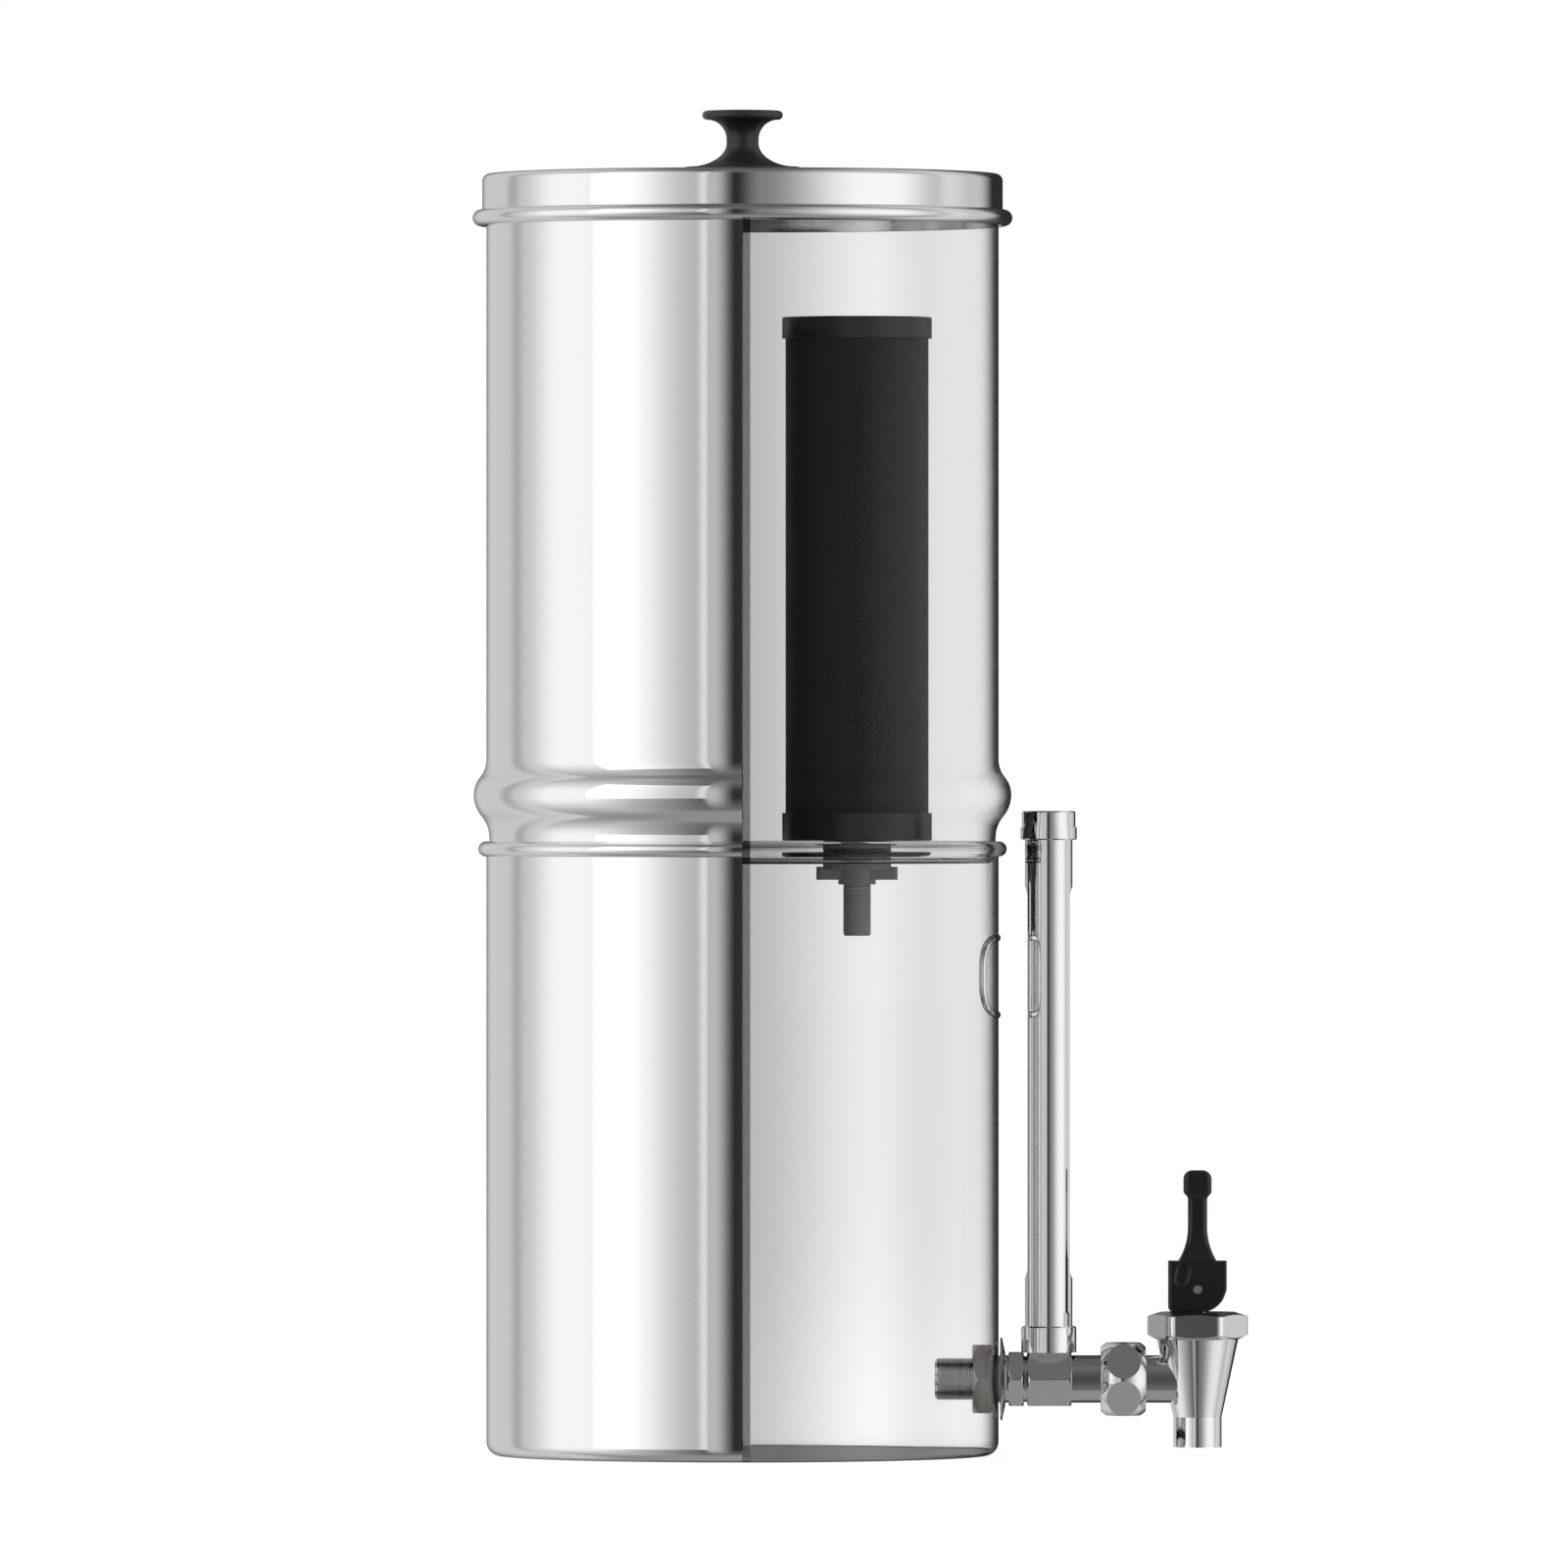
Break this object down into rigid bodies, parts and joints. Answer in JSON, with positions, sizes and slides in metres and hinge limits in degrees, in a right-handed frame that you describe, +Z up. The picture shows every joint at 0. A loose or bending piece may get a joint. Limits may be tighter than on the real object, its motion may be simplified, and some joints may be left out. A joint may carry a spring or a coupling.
{
  "type": "gravity water filter with tap",
  "caption": "Tall round steel gravity water filter: nesting chambers under a lidded top, black filter elements inside, and a lever tap with an upright sight gauge at the base.",
  "frame": {"origin": "centre of the lower chamber's flat base, on the chambers' axis", "axes": "+Z up along the chambers' axis; +X towards the tap; +Y level, across the tap"},
  "size_m": [0.3366, 0.2344, 0.584],
  "materials": {
    "polished_steel": "mirror-polished stainless steel",
    "chrome": "polished",
    "gauge_clear": "clear",
    "nut_nickel": "satin, warm grey",
    "carbon": "matte, fine grained",
    "cap_black": "satin",
    "knob_black": "satin",
    "lever_black": "gloss",
    "rubber_black": "matte",
    "silicone": "satin",
    "steel_parts": "machined"
  },
  "bodies": {
    "lower_unit": {"lower_chamber": "polished_steel", "gauge_manifold": "chrome", "shank_nut": "nut_nickel", "inner_wall_washer": "silicone", "outer_wall_washer": "silicone", "escutcheon": "chrome", "coupling_nut": "chrome", "coupling_washer": "rubber_black", "gauge_lower_collar": "chrome", "gauge_lower_seal": "silicone", "gauge_guard": "chrome", "gauge_glass": "gauge_clear", "gauge_upper_seal": "silicone", "gauge_upper_collar": "chrome", "gauge_top_cap": "chrome", "tap_body": "chrome", "bonnet_cap": "chrome", "gland_ring": "rubber_black", "return_spring": "steel_parts"},
    "upper_unit": {"upper_chamber": "polished_steel", "front_filter_carbon_block": "carbon", "front_filter_top_cap": "cap_black", "front_filter_base_cap": "cap_black", "front_filter_stem": "cap_black", "front_filter_seal_washer": "rubber_black", "front_filter_lower_washer": "rubber_black", "front_filter_wing_nut": "cap_black", "rear_filter_carbon_block": "carbon", "rear_filter_top_cap": "cap_black", "rear_filter_base_cap": "cap_black", "rear_filter_stem": "cap_black", "rear_filter_seal_washer": "rubber_black", "rear_filter_lower_washer": "rubber_black", "rear_filter_wing_nut": "cap_black"},
    "lid_unit": {"lid": "polished_steel", "lid_knob": "knob_black", "knob_screw": "steel_parts", "knob_washer": "rubber_black"},
    "stem_unit": {"tap_stem": "steel_parts", "seat_cup": "silicone"},
    "lever_unit": {"lever": "lever_black", "lever_pin": "steel_parts"}
  },
  "joints": [
    {"name": "upper_chamber_lift", "type": "slide", "parent": "lower_unit", "child": "upper_unit", "axis": [0, 0, 1], "range_m": [0, 0.1]},
    {"name": "lid_lift", "type": "slide", "parent": "upper_unit", "child": "lid_unit", "axis": [0, 0, 1], "range_m": [0, 0.12]},
    {"name": "stem_lift", "type": "slide", "parent": "lower_unit", "child": "stem_unit", "axis": [0, 0, 1], "range_m": [0, 0.00282], "stiffness_N_per_m": 1200, "springref_m": -0.003, "deforming": ["return_spring"]},
    {"name": "lever_tilt", "type": "hinge", "parent": "stem_unit", "child": "lever_unit", "pos_m": [0.1975, 0, 0.0721], "axis": [0, 1, 0], "range_deg": [0, 90]}
  ],
  "couplings": [
    {"joint": "lever_tilt", "follows": "stem_lift", "rad_per_m": 557.02}
  ]
}
